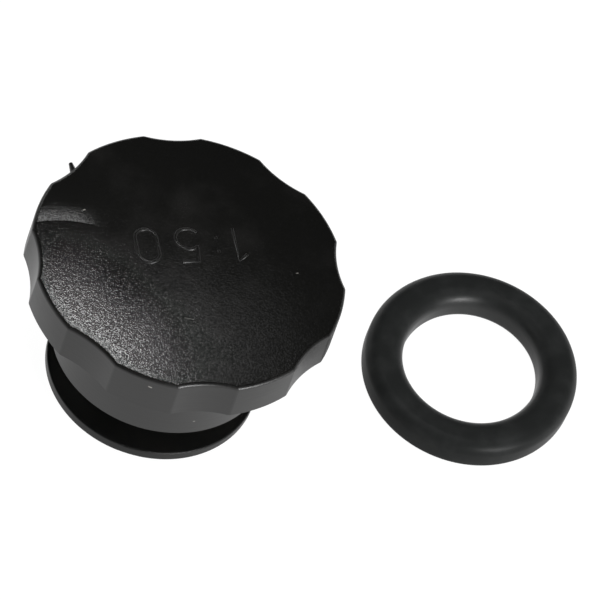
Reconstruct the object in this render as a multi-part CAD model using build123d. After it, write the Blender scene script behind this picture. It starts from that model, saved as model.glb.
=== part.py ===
"""Expanding fuel cap: a scalloped grip screws down on a disc and squeezes a rubber seal between them."""
from build123d import *
import math
import os

# Screw: a threaded post under the grip, in the disc's hollow stem
post_radius = 7.0
post_wall = 2.4
thread_depth = 1.5
thread_clearance = 0.2
thread_pitch = 3.5
closing_turns = 0.45
end_clearance = 1.0

# Disc and its stem
stem_wall = 3.0
disc_inset = 0.5
disc_thickness = 1.9
disc_round = 0.3
breather_radius = 0.8

# Neck that enters the filler
stem_room = 3.7
neck_wall = 2.6
neck_length = 15.2
neck_chamfer = 0.3
root_step = 0.8

# Scalloped grip
grip_overhang = 7.0
grip_height = 6.8
grip_draft = 1.5
top_wall = 2.6
skirt_wall = 2.2
rib_width = 1.6
scallop_count = 8
scallop_angle = 21.4
scallop_depth = 1.05
corner_round = 0.25
edge_round = 0.6

# Gate mark left on one scallop by the moulding
gate_scallop = 3
gate_length = 1.6
gate_base_radius = 0.6
gate_tip_radius = 0.32
gate_lean = 35.0
gate_sink = 0.4
gate_drop = 0.85

# Washer in the neck's mouth
washer_thickness = 1.6
washer_seat = 1.2
washer_clearance = 0.2
washer_slide = 0.25

# Rubber seal, taken off and lying flat beside the cap
seal_gap = 6.25
seal_clearance = 0.35
seal_width = 6.6
seal_thickness = 6.0
seal_round = 2.4
seal_oval = 0.56
seal_oval_bearing = 70.7
seal_spacing = 10.85
seal_bearing = 23.36

# Turn between the sides of a square
quarter_turn = 90

# Radii, from the screw outwards
post_core = post_radius - post_wall
stem_bore = post_radius + thread_depth + thread_clearance
stem_radius = stem_bore + stem_wall
neck_bore = stem_radius + stem_room
neck_radius = neck_bore + neck_wall
root_radius = neck_radius + root_step
disc_radius = neck_radius - disc_inset
grip_radius = neck_radius + grip_overhang
mouth_radius = neck_bore + washer_seat

# Levels, from the ground up
travel = thread_pitch * closing_turns
neck_bottom = disc_thickness + seal_gap
grip_bottom = neck_bottom + neck_length
grip_top = grip_bottom + grip_height
ceiling = grip_top - top_wall
stem_top = ceiling - travel - end_clearance
post_bottom = disc_thickness + travel + end_clearance

# Growth of the grip's outline from its top down to its foot, and corners wide enough for the rounded edge
flare = grip_height * math.tan(math.radians(grip_draft))
rim_corner_round = corner_round + edge_round

# Scallop arc through both corners and the deepest point
scallop_pitch = 360 / scallop_count
half_opening = math.radians(scallop_angle / 2)
scallop_floor = grip_radius - scallop_depth
scallop_rise = grip_radius * math.cos(half_opening) - scallop_floor
half_chord = grip_radius * math.sin(half_opening)
scallop_radius = (half_chord**2 + scallop_rise**2) / (2 * scallop_rise)
scallop_reach = scallop_floor + scallop_radius

# Seal's place on the ground
seal_inner = stem_radius + seal_clearance
seal_middle = seal_inner + seal_width / 2
seal_outer = seal_inner + seal_width
seal_distance = grip_radius + seal_spacing + seal_outer

# Seal's oval: two tighter and two flatter arcs that meet on the diagonals
oval_shift = 2 * seal_oval / (2 - math.sqrt(2))
tight_radius = seal_middle + seal_oval - oval_shift
flat_radius = tight_radius + math.sqrt(2) * oval_shift


def cylinder(radius, bottom, top):
    """Upright cylinder on the cap's axis between two levels."""
    return Pos(Z=bottom) * extrude(Circle(radius), top - bottom)


def tube(inner, outer, bottom, top):
    """Upright tube on the cap's axis between two levels."""
    return Pos(Z=bottom) * extrude(Circle(outer) - Circle(inner), top - bottom)


def scallops(wall):
    """Circles that cut the scallops, grown by a wall thickness."""
    places = PolarLocations(scallop_reach, scallop_count, start_angle=scallop_pitch / 2)
    return [place * Circle(scallop_radius + wall) for place in places]


def grip_outline(growth):
    """Scalloped outline with rounded corners, grown evenly all round."""
    outline = Circle(grip_radius + growth) - scallops(-growth)
    return fillet(outline.vertices(), rim_corner_round + growth)


def grip_block():
    """Solid grip with drafted walls and a rounded top edge."""
    foot = Pos(Z=grip_bottom) * grip_outline(flare)
    top = Pos(Z=grip_top) * grip_outline(0)
    block = loft([foot, top], ruled=True)
    rim = block.faces().sort_by(Axis.Z)[-1].outer_wire().edges()
    return fillet(rim, edge_round)


def grip_pocket():
    """Hollow under the grip between skirt and neck, with a rib left standing under each lobe."""
    outline = Circle(grip_radius - skirt_wall) - scallops(skirt_wall) - Circle(root_radius)
    rib = Pos(X=grip_radius / 2) * Rectangle(grip_radius, rib_width)
    outline -= [Rot(Z=lobe * scallop_pitch) * rib for lobe in range(scallop_count)]
    return Pos(Z=grip_bottom) * extrude(outline, ceiling - grip_bottom)


def gate_mark():
    """Tapered nib where the gate was broken off, leaning along the scallop."""
    bearing = scallop_pitch / 2 + gate_scallop * scallop_pitch
    on_base = (Align.CENTER, Align.CENTER, Align.MIN)
    nib = Cone(gate_base_radius, gate_tip_radius, gate_length + gate_sink, align=on_base)
    seat = Pos(scallop_floor - gate_sink, 0, grip_top - gate_drop)
    return Rot(Z=bearing) * seat * Rot(Z=-gate_lean) * Rot(Y=quarter_turn) * nib


def neck():
    """Hollow neck with a chamfered mouth edge, a seat for the washer and a thicker root in the grip."""
    outside = cylinder(neck_radius, neck_bottom, grip_bottom)
    mouth_edge = outside.edges().group_by(Axis.Z)[0]
    outside = chamfer(mouth_edge, neck_chamfer)
    return outside + cylinder(root_radius, grip_bottom, ceiling)


def neck_hollow():
    """Bore of the neck and the wider mouth that takes the washer."""
    bore = cylinder(neck_bore, neck_bottom, ceiling)
    mouth = cylinder(mouth_radius, neck_bottom, neck_bottom + washer_thickness)
    return bore + mouth


def make_grip_cap():
    """Grip, neck and threaded post as one moulding."""
    body = grip_block() - grip_pocket() + neck() + gate_mark()
    return body - neck_hollow() + tube(post_core, post_radius, post_bottom, ceiling)


def make_clamp_disc():
    """Disc with a hollow stem for the post and a breather hole."""
    disc = cylinder(disc_radius, 0, disc_thickness)
    disc = fillet(disc.edges(), disc_round)
    stem = tube(stem_bore, stem_radius, disc_thickness, stem_top)
    return disc + stem - cylinder(breather_radius, 0, disc_thickness)


def make_thrust_washer():
    """Flat ring in the neck's mouth, sliding on the stem."""
    inner = stem_radius + washer_slide
    outer = mouth_radius - washer_clearance
    return tube(inner, outer, neck_bottom, neck_bottom + washer_thickness)


def seal_arc(radius, shift, bearing):
    """Quarter of the seal, a rounded section turned about a centre that is shifted along its bearing."""
    section = Rot(X=quarter_turn) * RectangleRounded(seal_width, seal_thickness, seal_round)
    start = Rot(Z=-quarter_turn / 2) * Pos(radius, 0, seal_thickness / 2) * section
    return Rot(Z=bearing) * Pos(X=shift) * revolve(start, Axis.Z, quarter_turn)


def make_seal_ring():
    """Rubber ring with a rounded section, resting slightly out of round."""
    ring = []
    for end in (0, 2 * quarter_turn):
        ring.append(seal_arc(tight_radius, oval_shift, end))
        ring.append(seal_arc(flat_radius, -oval_shift, end + quarter_turn))
    place = Rot(Z=seal_bearing) * Pos(X=seal_distance) * Rot(Z=seal_oval_bearing - seal_bearing)
    return place * (Part() + ring)


os.makedirs("parts", exist_ok=True)
pieces = {
    "grip_cap": make_grip_cap(),
    "thrust_washer": make_thrust_washer(),
    "clamp_disc": make_clamp_disc(),
    "seal_ring": make_seal_ring(),
}
for name, piece in pieces.items():
    export_step(piece, f"parts/{name}.step")
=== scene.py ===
"""Looks of the expanding fuel cap: grained black plastic, a rubber seal and a raised mix ratio."""
import math
import bpy
from mathutils import Matrix, Quaternion, Vector


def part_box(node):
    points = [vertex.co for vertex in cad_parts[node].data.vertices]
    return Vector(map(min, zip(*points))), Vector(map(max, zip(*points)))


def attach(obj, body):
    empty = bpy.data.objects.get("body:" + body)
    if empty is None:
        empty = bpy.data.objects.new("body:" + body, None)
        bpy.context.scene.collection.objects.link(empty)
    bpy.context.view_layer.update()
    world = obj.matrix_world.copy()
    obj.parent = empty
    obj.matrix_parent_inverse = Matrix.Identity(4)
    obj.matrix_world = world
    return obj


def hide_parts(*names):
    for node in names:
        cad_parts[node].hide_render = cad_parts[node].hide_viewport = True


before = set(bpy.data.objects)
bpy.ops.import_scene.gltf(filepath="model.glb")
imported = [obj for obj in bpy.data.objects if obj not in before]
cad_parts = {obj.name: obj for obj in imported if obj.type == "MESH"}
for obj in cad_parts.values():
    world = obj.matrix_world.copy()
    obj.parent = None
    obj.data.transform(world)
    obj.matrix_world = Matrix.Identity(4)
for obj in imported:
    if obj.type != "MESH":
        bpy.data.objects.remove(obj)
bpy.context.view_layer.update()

MM = 0.001
TOP_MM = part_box("grip_cap")[1].z / MM

# Camera at the photograph's angle, in millimetres and degrees
TARGET_MM = (18.81, 12.367, 14.788)
VIEW_DISTANCE_MM = 519.94
VIEW_AZIMUTH = -2.694
VIEW_ELEVATION = 50.241
VIEW_ROLL = 21.855
LENS_MM = 193.007
SENSOR_MM = 36.0
NEAR_CLIP_SHARE = 0.02

# Studio: pale floor, a white wall all round and a dark ceiling
FLOOR_RADIUS_MM = 4000.0
FLOOR_SIDES = 96
FLOOR_ALBEDO = 0.9
FLOOR_GLOW_SHARE = 0.92
FLOOR_GLOW = 1.07
WALL_LEVEL = 1.0
CEILING_LEVEL = 0.02
CEILING_STARTS = 0.1
CEILING_FULL = 0.2

# Lamps: place, aim and direction of the long side, then length, width, brightness and if they gleam
LAMPS = {
    "key_lamp": ((476, -347, 165), (20, 10, 10), (0.6, 0.76, 0), 140, 140, 52.0, True),
    "sheen_lamp": ((-11.3, 1.7, 65.2), (-10.4, -25.5, 30), (0.9, -0.43, 0), 25, 7, 16.0, True),
    "haze_lamp": ((7, 9, 66), (7, -18, 30), (1, 0, 0), 24, 22, 0.5, True),
    "fill_lamp": ((20, 10, 700), (20, 10, 0), (1, 0, 0), 500, 500, 6.0, False),
}

# Colours as linear light
PLASTIC_BLACK = (0.0042, 0.0042, 0.0039)
PLASTIC_WORN = (0.0085, 0.0083, 0.0079)
DISC_BLACK = (0.006, 0.0064, 0.0062)
WASHER_NATURAL = (0.55, 0.53, 0.48)
WASHER_SHADE = (0.47, 0.45, 0.4)
RUBBER_BLACK = (0.0122, 0.013, 0.0128)
RUBBER_BLOOM = (0.0185, 0.0195, 0.0193)
DUST = (0.33, 0.32, 0.29)

# Clouds that vary each finish: their size, the noise that makes them and the spans of it that are used
GRIP_CLOUD_MM = 9.0
DISC_CLOUD_MM = 6.0
WASHER_CLOUD_MM = 4.0
RUBBER_CLOUD_MM = 5.0
CLOUD_DETAIL = 3.0
CLOUD_ROUGH = 0.55
RUBBER_CLOUD_ROUGH = 0.6
CLOUD_SPAN = (0.3, 0.7)
WORN_SPAN = (0.4, 0.75)
GRIP_WORN_SPAN = (0.45, 0.8)

# Grip's finish: faces that count as its top, grain, streaks drawn along the walls, roughness and gleam
TOP_FACING = (0.9, 0.99)
GRAIN_SIZE_MM = 0.24
GRAIN_DEPTH_MM = 0.058
SINK_GRAIN_DEPTH_MM = 0.02
WALL_GRAIN_DEPTH_MM = 0.004
STREAK_SIZE_MM = 0.5
STREAK_STRETCH = (0.05, 0.05, 1.0)
STREAK_DEPTH_MM = 0.012
TOP_ROUGHNESS = (0.18, 0.22)
SINK_ROUGHNESS = 0.36
WALL_ROUGHNESS = (0.38, 0.44)
GLEAM_SPAN = (0.35, 0.65)
GRAIN_GLEAM = (0.2, 0.8)
WALL_GLEAM = 0.5
GRIP_IOR = 1.52

# Finish of the other pieces: fine skin, roughness and gleam
SKIN_DEPTH_MM = 0.006
DISC_SKIN_MM = 0.35
DISC_ROUGHNESS = (0.4, 0.48)
DISC_GLEAM = 0.25
WASHER_ROUGHNESS = (0.35, 0.45)
RUBBER_SKIN_MM = 0.3
RUBBER_ROUGHNESS = (0.37, 0.42)
RUBBER_GLEAM = 0.26
RUBBER_WALL_GLEAM = 0.05

# Raised mix ratio on the top face, read from the far side
MARK_CENTRE_MM = (-0.6, 2.6)
MARK_BEARING = 205.9
MARK_HEIGHT_MM = 6.4
MARK_GAP_MM = 3.0
MARK_STROKE_MM = 0.34
MARK_SINK_MM = 0.14
BOWL_STEPS = 20

# Shallow sink mark at the edge of the top face, steep along one arc, with its ends in degrees
SINK_CENTRE_MM = (-13.76, -17.75)
SINK_RADIUS_MM = 17.6
SINK_EDGE_MM = (-0.15, 0.1)
SINK_WIDTH_MM = 4.0
SINK_RETURN_MM = 8.0
SINK_DEPTH_MM = 0.5
SINK_FROM = 88.0
SINK_FULL = 106.0

# Soft ring, lying out of round: its middle line, its section and the radius of each edge of the section
RING_CENTRE_MM = (49.71, 21.45)
RING_MIDDLE_MM = 15.29
RING_OVAL_MM = 0.57
RING_OVAL_BEARING = 70.8
RING_WIDTH_MM = 6.5
RING_THICKNESS_MM = 5.4
RING_FOOT_ROUND_MM = 1.1
RING_OUTER_ROUND_MM = 2.2
RING_INNER_ROUND_MM = 2.6
RING_SIDES = 160
RING_EDGE_STEPS = 8

# Dust and a scratch on the grip, from one point to another, with a half width and a strength
FLECK_EDGE = (1.5, 0.5)
FLECKS_MM = [
    ((-18.2, 1.9, TOP_MM), (-18.0, 2.1, TOP_MM), 0.1, 0.35),
    ((16.4, 4.5, TOP_MM), (16.6, 4.6, TOP_MM), 0.1, 0.3),
    ((2.3, -11.5, TOP_MM), (3.7, -11.2, TOP_MM), 0.06, 0.12),
    ((0.75, -25.05, 28.5), (1.15, -25.05, 28.45), 0.12, 0.7),
    ((6.75, -24.2, 23.9), (6.85, -24.2, 23.9), 0.12, 0.4),
    ((8.85, -23.5, 24.7), (8.9, -23.5, 24.7), 0.12, 0.4),
    ((9.1, -15.5, 11.5), (9.2, -15.5, 11.5), 0.14, 0.4),
]


def link(tree, socket, value):
    """Feed a socket from another node's output, or set its value."""
    if isinstance(value, bpy.types.NodeSocket):
        tree.links.new(value, socket)
    else:
        socket.default_value = value


def add(tree, kind, inputs=None, **settings):
    """New node with its settings and inputs."""
    made = tree.nodes.new(kind)
    for key, value in settings.items():
        setattr(made, key, value)
    for key, value in (inputs or {}).items():
        link(tree, made.inputs[key], value)
    return made


def calc(tree, operation, *values):
    """Output of a Math node."""
    made = add(tree, "ShaderNodeMath", operation=operation)
    for socket, value in zip(made.inputs, values):
        link(tree, socket, value)
    return made.outputs[0]


def vector(tree, operation, *values):
    """Node that works on vectors."""
    made = add(tree, "ShaderNodeVectorMath", operation=operation)
    for socket, value in zip(made.inputs, values):
        link(tree, socket, value)
    return made


def xyz(tree, value):
    """The three parts of a vector."""
    return add(tree, "ShaderNodeSeparateXYZ", {"Vector": value}).outputs


def fade(tree, value, start, end, low=0.0, high=1.0):
    """Smooth step of a value from low to high."""
    inputs = {"Value": value, "From Min": start, "From Max": end, "To Min": low, "To Max": high}
    return add(tree, "ShaderNodeMapRange", inputs, interpolation_type="SMOOTHSTEP").outputs["Result"]


def between(tree, factor, first, second):
    """Number between two others."""
    made = add(tree, "ShaderNodeMix", data_type="FLOAT")
    for place, value in ((0, factor), (2, first), (3, second)):
        link(tree, made.inputs[place], value)
    return made.outputs[0]


def blend_colour(tree, factor, first, second):
    """Colour between two others."""
    made = add(tree, "ShaderNodeMix", data_type="RGBA")
    link(tree, made.inputs["Factor"], factor)
    for name, colour in (("A", first), ("B", second)):
        socket = [s for s in made.inputs if s.name == name and s.type == "RGBA"][0]
        link(tree, socket, colour if isinstance(colour, bpy.types.NodeSocket) else (*colour, 1))
    return [s for s in made.outputs if s.type == "RGBA"][0]


def noise(tree, where_mm, size_mm, detail=2.0, rough=0.5):
    """Noise between 0 and 1 with features of about one size."""
    inputs = {"Vector": where_mm, "Scale": 1 / size_mm, "Detail": detail, "Roughness": rough}
    return add(tree, "ShaderNodeTexNoise", inputs).outputs["Fac"]


def clouds(tree, where_mm, size_mm, rough=CLOUD_ROUGH):
    """Noise that varies a finish in soft patches of about one size."""
    return noise(tree, where_mm, size_mm, CLOUD_DETAIL, rough)


def relief(tree, height_mm):
    """Bump from a height in millimetres."""
    return add(tree, "ShaderNodeBump", {"Distance": MM, "Height": height_mm}).outputs["Normal"]


def skin(tree, where_mm, size_mm):
    """Bump of a fine, nearly smooth skin."""
    return relief(tree, calc(tree, "MULTIPLY", noise(tree, where_mm, size_mm), SKIN_DEPTH_MM))


def new_material(name):
    """Material with a plain principled shader."""
    material = bpy.data.materials.new(name)
    material.use_nodes = True
    tree = material.node_tree
    return material, tree, tree.nodes["Principled BSDF"]


def places(tree):
    """Position in millimetres and normal, in the part's own frame."""
    made = add(tree, "ShaderNodeTexCoord")
    where_mm = vector(tree, "SCALE", made.outputs["Object"])
    where_mm.inputs["Scale"].default_value = 1 / MM
    return where_mm.outputs["Vector"], made.outputs["Normal"]


def fleck(tree, where_mm, start, end, half_width):
    """One within a short line's half width, fading to zero outside it."""
    start, end = Vector(start), Vector(end)
    run = end - start
    offset = vector(tree, "SUBTRACT", where_mm, start).outputs["Vector"]
    along = vector(tree, "DOT_PRODUCT", offset, run / run.length_squared).outputs["Value"]
    along = add(tree, "ShaderNodeClamp", {"Value": along}).outputs["Result"]
    nearest = vector(tree, "SCALE", run)
    link(tree, nearest.inputs["Scale"], along)
    apart = vector(tree, "DISTANCE", offset, nearest.outputs["Vector"]).outputs["Value"]
    return fade(tree, apart, *(half_width * share for share in FLECK_EDGE))


def sink_mark(tree, where_mm):
    """Rise of the face beyond the sink mark's edge, in millimetres, and a mask of where that is."""
    centre = (*SINK_CENTRE_MM, TOP_MM)
    offset = vector(tree, "SUBTRACT", where_mm, centre).outputs["Vector"]
    radius = vector(tree, "LENGTH", offset).outputs["Value"]
    part = xyz(tree, offset)
    bearing = calc(tree, "ARCTAN2", part["Y"], part["X"])
    back = SINK_RADIUS_MM + SINK_WIDTH_MM
    edge = fade(tree, radius, *(SINK_RADIUS_MM + step for step in SINK_EDGE_MM))
    near = fade(tree, radius, back, SINK_RADIUS_MM - SINK_WIDTH_MM, 0.0, 2.0)
    ends = fade(tree, bearing, math.radians(SINK_FROM), math.radians(SINK_FULL))
    rise = calc(tree, "SUBTRACT", 1.0, calc(tree, "MINIMUM", near, 1.0))
    rise = calc(tree, "MULTIPLY", rise, fade(tree, radius, back, back + SINK_RETURN_MM, SINK_DEPTH_MM, 0.0))
    sunk = calc(tree, "MULTIPLY", edge, fade(tree, radius, SINK_RADIUS_MM, back, 1.0, 0.0))
    return calc(tree, "MULTIPLY", rise, ends), calc(tree, "MULTIPLY", sunk, ends)


def grip_plastic():
    """Moulded black plastic, grained on the top face and drawn smooth on the walls."""
    material, tree, shader = new_material("grip_plastic")
    where, normal = places(tree)
    top = fade(tree, xyz(tree, normal)["Z"], *TOP_FACING)
    cloud = clouds(tree, where, GRIP_CLOUD_MM)
    dust = 0.0
    for start, end, half_width, strength in FLECKS_MM:
        speck = calc(tree, "MULTIPLY", fleck(tree, where, start, end, half_width), strength)
        dust = calc(tree, "MAXIMUM", dust, speck)
    plastic = blend_colour(tree, fade(tree, cloud, *GRIP_WORN_SPAN), PLASTIC_BLACK, PLASTIC_WORN)
    link(tree, shader.inputs["Base Color"], blend_colour(tree, dust, plastic, DUST))

    rise, sunk = sink_mark(tree, where)
    wall_rough = fade(tree, cloud, *CLOUD_SPAN, *WALL_ROUGHNESS)
    top_rough = between(tree, sunk, fade(tree, cloud, *CLOUD_SPAN, *TOP_ROUGHNESS), SINK_ROUGHNESS)
    link(tree, shader.inputs["Roughness"], between(tree, top, wall_rough, top_rough))

    pits = noise(tree, where, GRAIN_SIZE_MM, detail=1.0)
    top_depth = between(tree, sunk, GRAIN_DEPTH_MM, SINK_GRAIN_DEPTH_MM)
    grain = calc(tree, "MULTIPLY", pits, between(tree, top, WALL_GRAIN_DEPTH_MM, top_depth))
    gleam = between(tree, top, WALL_GLEAM, fade(tree, pits, *GLEAM_SPAN, *GRAIN_GLEAM))
    link(tree, shader.inputs["Specular IOR Level"], gleam)
    drawn = vector(tree, "MULTIPLY", where, STREAK_STRETCH).outputs["Vector"]
    streaks = noise(tree, drawn, STREAK_SIZE_MM, rough=0.6)
    streaks = calc(tree, "MULTIPLY", streaks, between(tree, top, STREAK_DEPTH_MM, 0.0))
    height = calc(tree, "ADD", grain, streaks)
    height = calc(tree, "ADD", height, calc(tree, "MULTIPLY", rise, top))
    link(tree, shader.inputs["Normal"], relief(tree, height))
    shader.inputs["IOR"].default_value = GRIP_IOR
    return material


def disc_plastic():
    """Smooth black plastic of the disc and its stem."""
    material, tree, shader = new_material("disc_plastic")
    where, _ = places(tree)
    cloud = clouds(tree, where, DISC_CLOUD_MM)
    colour = blend_colour(tree, fade(tree, cloud, *WORN_SPAN), DISC_BLACK, PLASTIC_WORN)
    link(tree, shader.inputs["Base Color"], colour)
    link(tree, shader.inputs["Roughness"], fade(tree, cloud, *CLOUD_SPAN, *DISC_ROUGHNESS))
    link(tree, shader.inputs["Normal"], skin(tree, where, DISC_SKIN_MM))
    shader.inputs["Specular IOR Level"].default_value = DISC_GLEAM
    return material


def washer_plastic():
    """Slippery natural plastic of the washer."""
    material, tree, shader = new_material("washer_plastic")
    where, _ = places(tree)
    cloud = clouds(tree, where, WASHER_CLOUD_MM)
    link(tree, shader.inputs["Base Color"], blend_colour(tree, cloud, WASHER_NATURAL, WASHER_SHADE))
    link(tree, shader.inputs["Roughness"], fade(tree, cloud, *CLOUD_SPAN, *WASHER_ROUGHNESS))
    return material


def seal_rubber():
    """Soft rubber with a faint bloom, duller on the ring's outer wall."""
    material, tree, shader = new_material("seal_rubber")
    where, _ = places(tree)
    cloud = clouds(tree, where, RUBBER_CLOUD_MM, RUBBER_CLOUD_ROUGH)
    colour = blend_colour(tree, fade(tree, cloud, *WORN_SPAN), RUBBER_BLACK, RUBBER_BLOOM)
    link(tree, shader.inputs["Base Color"], colour)
    link(tree, shader.inputs["Roughness"], fade(tree, cloud, *CLOUD_SPAN, *RUBBER_ROUGHNESS))
    link(tree, shader.inputs["Normal"], skin(tree, where, RUBBER_SKIN_MM))
    plan = vector(tree, "MULTIPLY", where, (1.0, 1.0, 0.0)).outputs["Vector"]
    reach = vector(tree, "DISTANCE", plan, (*RING_CENTRE_MM, 0.0)).outputs["Value"]
    outside = RING_MIDDLE_MM + RING_WIDTH_MM / 2
    gleam = fade(tree, reach, outside - RING_OUTER_ROUND_MM, outside, RUBBER_GLEAM, RUBBER_WALL_GLEAM)
    link(tree, shader.inputs["Specular IOR Level"], gleam)
    return material


def dress(node, material):
    """Give a CAD node its material."""
    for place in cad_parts[node].material_slots:
        place.material = material


def bowl(centre, radius, start, end):
    """Points along an arc, in shares of a numeral's height and in degrees."""
    angles = [math.radians(start + (end - start) * i / BOWL_STEPS) for i in range(BOWL_STEPS + 1)]
    return [(centre[0] + radius * math.cos(a), centre[1] + radius * math.sin(a)) for a in angles]


def numerals():
    """Strokes of each sign of the ratio, with its width, in shares of a numeral's height."""
    one = [[(0.0, 0.8), (0.24, 1.0), (0.24, 0.0)]]
    colon = [[(0.0, 0.25), (0.0, 0.33)], [(0.0, 0.67), (0.0, 0.75)]]
    five = [[(0.5, 1.0), (0.07, 1.0), (0.03, 0.54)] + bowl((0.25, 0.31), 0.31, 130, -145)]
    nought = bowl((0.27, 0.73), 0.27, 0, 180) + bowl((0.27, 0.27), 0.27, 180, 360)
    return [(one, 0.24), (colon, 0.0), (five, 0.56), ([nought + nought[:1]], 0.54)]


def make_mark(material):
    """Raised numerals as round ridges on the top face."""
    signs = numerals()
    length = sum(width for _, width in signs) * MARK_HEIGHT_MM + MARK_GAP_MM * (len(signs) - 1)
    turn = Matrix.Rotation(math.radians(MARK_BEARING), 3, "Z")
    curve = bpy.data.curves.new("mix_ratio", "CURVE")
    curve.dimensions = "3D"
    curve.bevel_depth = MARK_STROKE_MM * MM
    curve.use_fill_caps = True
    left = -length / 2
    for strokes, width in signs:
        for stroke in strokes:
            spline = curve.splines.new("POLY")
            spline.points.add(len(stroke) - 1)
            for point, (across, up) in zip(spline.points, stroke):
                flat = turn @ Vector((left + across * MARK_HEIGHT_MM, (up - 0.5) * MARK_HEIGHT_MM, 0))
                place = flat + Vector((*MARK_CENTRE_MM, TOP_MM - MARK_SINK_MM))
                point.co = (*(place * MM), 1)
        left += width * MARK_HEIGHT_MM + MARK_GAP_MM
    shape = bpy.data.objects.new("mix_ratio_curve", curve)
    mesh = bpy.data.meshes.new_from_object(shape)
    bpy.data.objects.remove(shape)
    mesh.materials.clear()
    mesh.materials.append(material)
    mesh.polygons.foreach_set("use_smooth", [True] * len(mesh.polygons))
    mark = bpy.data.objects.new("mix_ratio", mesh)
    bpy.context.scene.collection.objects.link(mark)
    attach(mark, "grip")


def ring_section():
    """Section of the soft ring as points across and up, anticlockwise from the outer foot."""
    edges = [(1, 0, RING_FOOT_ROUND_MM, -90), (1, 1, RING_OUTER_ROUND_MM, 0),
             (-1, 1, RING_INNER_ROUND_MM, 90), (-1, 0, RING_FOOT_ROUND_MM, 180)]
    section = []
    for side, high, radius, start in edges:
        across = side * (RING_WIDTH_MM / 2 - radius)
        up = RING_THICKNESS_MM - radius if high else radius
        for step in range(RING_EDGE_STEPS + 1):
            angle = math.radians(start + 90 * step / RING_EDGE_STEPS)
            section.append((across + radius * math.cos(angle), up + radius * math.sin(angle)))
    return section


def make_ring(material):
    """Soft rubber ring swept along an oval, with a flat top and a worn inner edge."""
    section = ring_section()
    count = len(section)
    points = []
    for side in range(RING_SIDES):
        bearing = 2 * math.pi * side / RING_SIDES
        reach = RING_MIDDLE_MM + RING_OVAL_MM * math.cos(2 * (bearing - math.radians(RING_OVAL_BEARING)))
        for across, up in section:
            x = RING_CENTRE_MM[0] + (reach + across) * math.cos(bearing)
            y = RING_CENTRE_MM[1] + (reach + across) * math.sin(bearing)
            points.append((x * MM, y * MM, up * MM))
    faces = []
    for side in range(RING_SIDES):
        here, there = side * count, (side + 1) % RING_SIDES * count
        for a in range(count):
            b = (a + 1) % count
            faces.append((here + a, there + a, there + b, here + b))
    mesh = bpy.data.meshes.new("rubber_ring")
    mesh.from_pydata(points, [], faces)
    mesh.materials.append(material)
    mesh.polygons.foreach_set("use_smooth", [True] * len(mesh.polygons))
    ring = bpy.data.objects.new("rubber_ring", mesh)
    bpy.context.scene.collection.objects.link(ring)
    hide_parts("seal_ring")
    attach(ring, "disc")


def make_floor():
    """Pale floor that keeps the shadow and looks white to the camera and in reflections."""
    angles = [2 * math.pi * i / FLOOR_SIDES for i in range(FLOOR_SIDES)]
    radius = FLOOR_RADIUS_MM * MM
    corners = [(radius * math.cos(a), radius * math.sin(a), 0) for a in angles]
    mesh = bpy.data.meshes.new("floor")
    mesh.from_pydata(corners, [], [range(FLOOR_SIDES)])
    floor = bpy.data.objects.new("floor", mesh)
    bpy.context.scene.collection.objects.link(floor)
    material, tree, shader = new_material("floor")
    shader.inputs["Base Color"].default_value = (FLOOR_ALBEDO, FLOOR_ALBEDO, FLOOR_ALBEDO, 1)
    shader.inputs["Roughness"].default_value = 1.0
    shader.inputs["Specular IOR Level"].default_value = 0.0
    glow = add(tree, "ShaderNodeEmission", {"Strength": FLOOR_GLOW})
    path = add(tree, "ShaderNodeLightPath").outputs
    seen = calc(tree, "MAXIMUM", path["Is Camera Ray"], path["Is Glossy Ray"])
    seen = calc(tree, "MAXIMUM", seen, path["Is Transmission Ray"])
    mix = add(tree, "ShaderNodeMixShader")
    link(tree, mix.inputs[0], calc(tree, "MULTIPLY", seen, FLOOR_GLOW_SHARE))
    link(tree, mix.inputs[1], shader.outputs[0])
    link(tree, mix.inputs[2], glow.outputs[0])
    link(tree, tree.nodes["Material Output"].inputs["Surface"], mix.outputs[0])
    mesh.materials.append(material)


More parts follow.
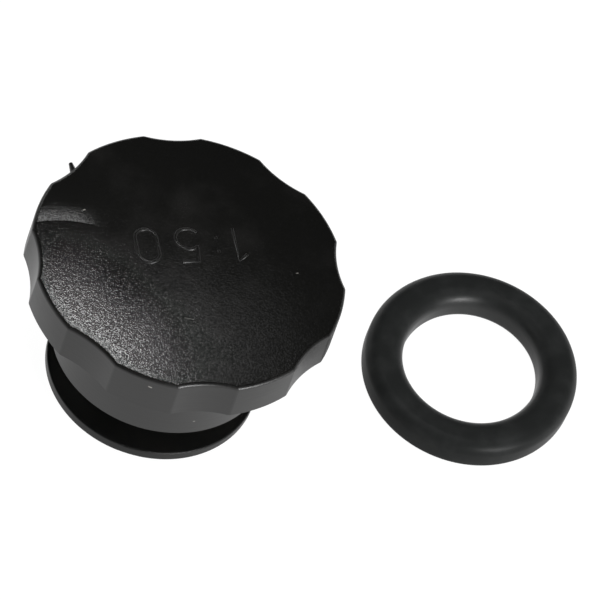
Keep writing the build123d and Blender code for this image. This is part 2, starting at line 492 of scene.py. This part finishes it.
def make_world():
    """White wall all round the object, fading to a dark ceiling."""
    world = bpy.data.worlds.new("studio")
    world.use_nodes = True
    bpy.context.scene.world = world
    tree = world.node_tree
    direction = add(tree, "ShaderNodeTexCoord").outputs["Generated"]
    level = fade(tree, xyz(tree, direction)["Z"], CEILING_STARTS, CEILING_FULL, WALL_LEVEL, CEILING_LEVEL)
    background = tree.nodes["Background"]
    background.inputs["Color"].default_value = (1, 1, 1, 1)
    link(tree, background.inputs["Strength"], level)


def make_lamp(name, place_mm, aim_mm, along, length_mm, width_mm, brightness, gleams):
    """Soft rectangular lamp, aimed at a point and unseen by the camera."""
    data = bpy.data.lights.new(name, "AREA")
    data.shape = "RECTANGLE"
    data.size = length_mm * MM
    data.size_y = width_mm * MM
    data.energy = brightness * math.pi * data.size * data.size_y
    lamp = bpy.data.objects.new(name, data)
    back = (Vector(place_mm) - Vector(aim_mm)).normalized()
    across = back.cross(Vector(along)).normalized()
    axes = Matrix((across.cross(back), across, back)).transposed()
    lamp.matrix_world = Matrix.Translation(Vector(place_mm) * MM) @ axes.to_4x4()
    lamp.visible_camera = False
    lamp.visible_glossy = gleams
    bpy.context.scene.collection.objects.link(lamp)


def make_camera():
    """Camera at the photograph's angle."""
    data = bpy.data.cameras.new("camera")
    data.sensor_width = SENSOR_MM
    data.lens = LENS_MM
    data.clip_start = VIEW_DISTANCE_MM * NEAR_CLIP_SHARE * MM
    camera = bpy.data.objects.new("camera", data)
    azimuth = math.radians(VIEW_AZIMUTH)
    elevation = math.radians(VIEW_ELEVATION)
    level = math.cos(elevation)
    back = Vector((math.sin(azimuth) * level, -math.cos(azimuth) * level, math.sin(elevation)))
    camera.location = (Vector(TARGET_MM) + back * VIEW_DISTANCE_MM) * MM
    camera.rotation_mode = "QUATERNION"
    roll = Quaternion((0, 0, 1), math.radians(VIEW_ROLL))
    camera.rotation_quaternion = (-back).to_track_quat("-Z", "Y") @ roll
    bpy.context.scene.collection.objects.link(camera)
    bpy.context.scene.camera = camera


grip_finish = grip_plastic()
dress("grip_cap", grip_finish)
dress("clamp_disc", disc_plastic())
dress("thrust_washer", washer_plastic())
rubber = seal_rubber()
dress("seal_ring", rubber)
make_ring(rubber)
make_mark(grip_finish)

make_floor()
make_world()
for lamp_name, lamp_values in LAMPS.items():
    make_lamp(lamp_name, *lamp_values)
make_camera()
bpy.context.scene.view_settings.view_transform = "Standard"
